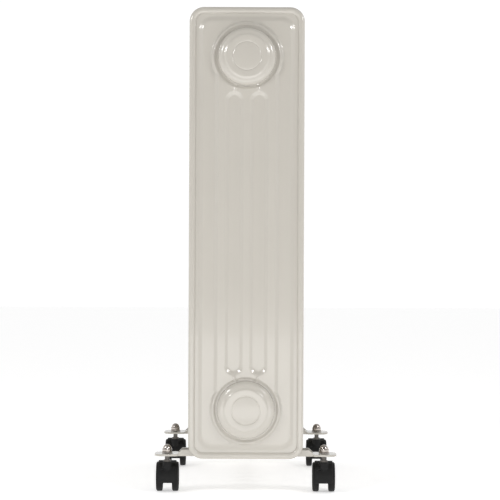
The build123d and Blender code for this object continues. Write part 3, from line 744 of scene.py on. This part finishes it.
at_knob = Matrix.Translation((knob_centre.x, fascia_high.y, knob_centre.z)) @ facing_out
for step in range(SCALE_STEPS + 1):
    turn = SCALE_START - SCALE_SWEEP * step / SCALE_STEPS
    has_number = step % STEPS_PER_NUMBER == 0
    mark_length = LONG_MARK if has_number else SHORT_MARK
    mark = bmesh.new()
    bmesh.ops.create_cube(mark, size=1, matrix=Matrix.Diagonal((mark_length, MARK_WIDTH, INK, 1)))
    outwards = Matrix.Translation((MARK_START_RADIUS + mark_length / 2, 0, INK / 2))
    add_to(printed, mark, at_knob @ Matrix.Rotation(turn, 4, "Z") @ outwards)
    if has_number:
        across = knob_centre.x - NUMBER_RADIUS * math.cos(turn)
        height = knob_centre.z + NUMBER_RADIUS * math.sin(turn)
        print_text(str(step // STEPS_PER_NUMBER), NUMBER_SIZE, across, height)
for name in ("switch_housing_high", "switch_housing_low"):
    low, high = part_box(name)
    print_text("I", SWITCH_LETTER_SIZE, (low.x + high.x) / 2, high.z + SWITCH_LETTER_GAP)
    print_text("O", SWITCH_LETTER_SIZE, (low.x + high.x) / 2, low.z - SWITCH_LETTER_GAP)
printed_mesh = mesh_of(printed, "fascia_print")
printed_mesh.materials.append(print_ink)
fascia_print = new_object("fascia_print", printed_mesh)
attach(fascia_print, body_of_node["fascia"])


# ---------------------------------------------------------------- Housing, handle and bush
# The cover and the bush are moulded with their edges slightly rounded; the fascia is snapped into the
# cover's window, and the carrying handle is screwed on. Fascia, handle, fasteners and inner parts are
# as their solids show them, each in its own material's finish, and the stems in the near-black zinc
# that paints in their shade under the brackets.
COVER_EDGE = 0.0003
BUSH_EDGE = 0.0005
softened("control_cover", COVER_EDGE, finish_of_slot["cover_ivory"])
softened("cord_gland", BUSH_EDGE, finish_of_slot["switch_black"])
for name, node in nodes.items():
    if not node.hide_render:
        # The stems take the near-black zinc, whose colour paints in their shade under the brackets.
        slot = "dark_zinc_and_shade" if name.endswith("_stem") else slot_of_node[name]
        node.data.materials.clear()
        node.data.materials.append(finish_of_slot[slot])


# ---------------------------------------------------------------- Studio
# A plain pale floor in a soft white room that is dimmer in front and overhead, two soft lamps high on
# either side in front with a low one between them, and a camera square to the end fin, a little above
# its middle.
FLOOR_HALF = 6.0
FLOOR_WHITE = (0.96, 0.96, 0.96, 1)
FLOOR_GLOW = 0.46
WORLD_STRENGTH = 1.04
LEFT_LAMP_PLACE = (-1.06, -1.15, 1.03)
RIGHT_LAMP_PLACE = (1.06, -1.15, 1.03)
SIDE_LAMP_TARGET = (0, -0.2, 0.30)
SIDE_LAMP_SIZE = (0.26, 0.26)
SIDE_LAMP_POWER = 6
LOW_LAMP_PLACE = (0, -0.65, 0.02)
LOW_LAMP_TARGET = (0, -0.2, 0.25)
LOW_LAMP_SIZE = (0.9, 0.35)
LOW_LAMP_POWER = 1.2
floor_cloth = bpy.data.materials.new("floor_cloth")
floor_cloth.use_nodes = True
floor_shader = floor_cloth.node_tree.nodes["Principled BSDF"]
set_inputs(floor_shader, {"Base Color": FLOOR_WHITE, "Roughness": 0.9})
set_inputs(floor_shader, {"Emission Color": (1, 1, 1, 1), "Emission Strength": FLOOR_GLOW})
floor_sheet = bmesh.new()
bmesh.ops.create_grid(floor_sheet, x_segments=1, y_segments=1, size=FLOOR_HALF)
floor_mesh = mesh_of(floor_sheet, "studio_floor")
floor_mesh.materials.append(floor_cloth)
studio_floor = new_object("studio_floor", floor_mesh)

world = bpy.data.worlds.new("studio")
bpy.context.scene.world = world
world.use_nodes = True
sky = world.node_tree
directions = sky.nodes.new("ShaderNodeSeparateXYZ")
sky.links.new(sky.nodes.new("ShaderNodeTexCoord").outputs["Generated"], directions.inputs["Vector"])


def dimmed(axis, dim_end, dim_place, bright_place, dimness):
    """A wash of light over one direction of the studio, dim at one end."""
    towards = sky.nodes.new("ShaderNodeMapRange")
    set_inputs(towards, {"From Min": dim_end, "From Max": -dim_end})
    sky.links.new(directions.outputs[axis], towards.inputs["Value"])
    wash = sky.nodes.new("ShaderNodeValToRGB")
    dim, bright = wash.color_ramp.elements
    dim.position = dim_place
    dim.color = (dimness, dimness, dimness, 1)
    bright.position = bright_place
    bright.color = (1, 1, 1, 1)
    sky.links.new(towards.outputs["Result"], wash.inputs["Fac"])
    return wash.outputs["Color"]


# The Mix node's sockets 6 and 7 are its two colours, and its output 2 is their product.
in_front_dim = dimmed("Y", dim_end=-1, dim_place=0.06, bright_place=0.46, dimness=0.22)
overhead_dim = dimmed("Z", dim_end=1, dim_place=0.05, bright_place=0.42, dimness=0.42)
both = sky.nodes.new("ShaderNodeMix")
both.data_type = "RGBA"
both.blend_type = "MULTIPLY"
set_inputs(both, {"Factor": 1})
sky.links.new(in_front_dim, both.inputs[6])
sky.links.new(overhead_dim, both.inputs[7])
sky.links.new(both.outputs[2], sky.nodes["Background"].inputs["Color"])
set_inputs(sky.nodes["Background"], {"Strength": WORLD_STRENGTH})


def lamp(name, place, target, size, power):
    """A rectangular soft lamp that points at a target."""
    light = bpy.data.lights.new(name, "AREA")
    light.shape = "RECTANGLE"
    light.size, light.size_y = size
    light.energy = power
    body = new_object(name, light)
    body.location = place
    body.rotation_euler = (Vector(target) - Vector(place)).to_track_quat("-Z", "Y").to_euler()


lamp("left_lamp", LEFT_LAMP_PLACE, SIDE_LAMP_TARGET, SIDE_LAMP_SIZE, SIDE_LAMP_POWER)
lamp("right_lamp", RIGHT_LAMP_PLACE, SIDE_LAMP_TARGET, SIDE_LAMP_SIZE, SIDE_LAMP_POWER)
lamp("low_lamp", LOW_LAMP_PLACE, LOW_LAMP_TARGET, LOW_LAMP_SIZE, LOW_LAMP_POWER)

CAMERA_HEIGHT = 0.332
CAMERA_ASIDE = 0.0046
CAMERA_BEFORE_END_FIN = 2.356
FOCAL_LENGTH = 132.2
SENSOR_WIDTH = 36
CLIP_END = 50
DOWNWARD_TILT = math.radians(0.437)
CAMERA_ROLL = math.radians(-0.23)
low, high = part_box("fin_1")
view = bpy.data.cameras.new("view")
view.lens = FOCAL_LENGTH
view.sensor_width = SENSOR_WIDTH
view.clip_end = CLIP_END
camera = new_object("camera", view)
camera.location = (CAMERA_ASIDE, (low.y + high.y) / 2 - CAMERA_BEFORE_END_FIN, CAMERA_HEIGHT)
camera.rotation_euler = (math.pi / 2 - DOWNWARD_TILT, CAMERA_ROLL, 0)
bpy.context.scene.camera = camera
bpy.context.scene.view_settings.view_transform = "Standard"
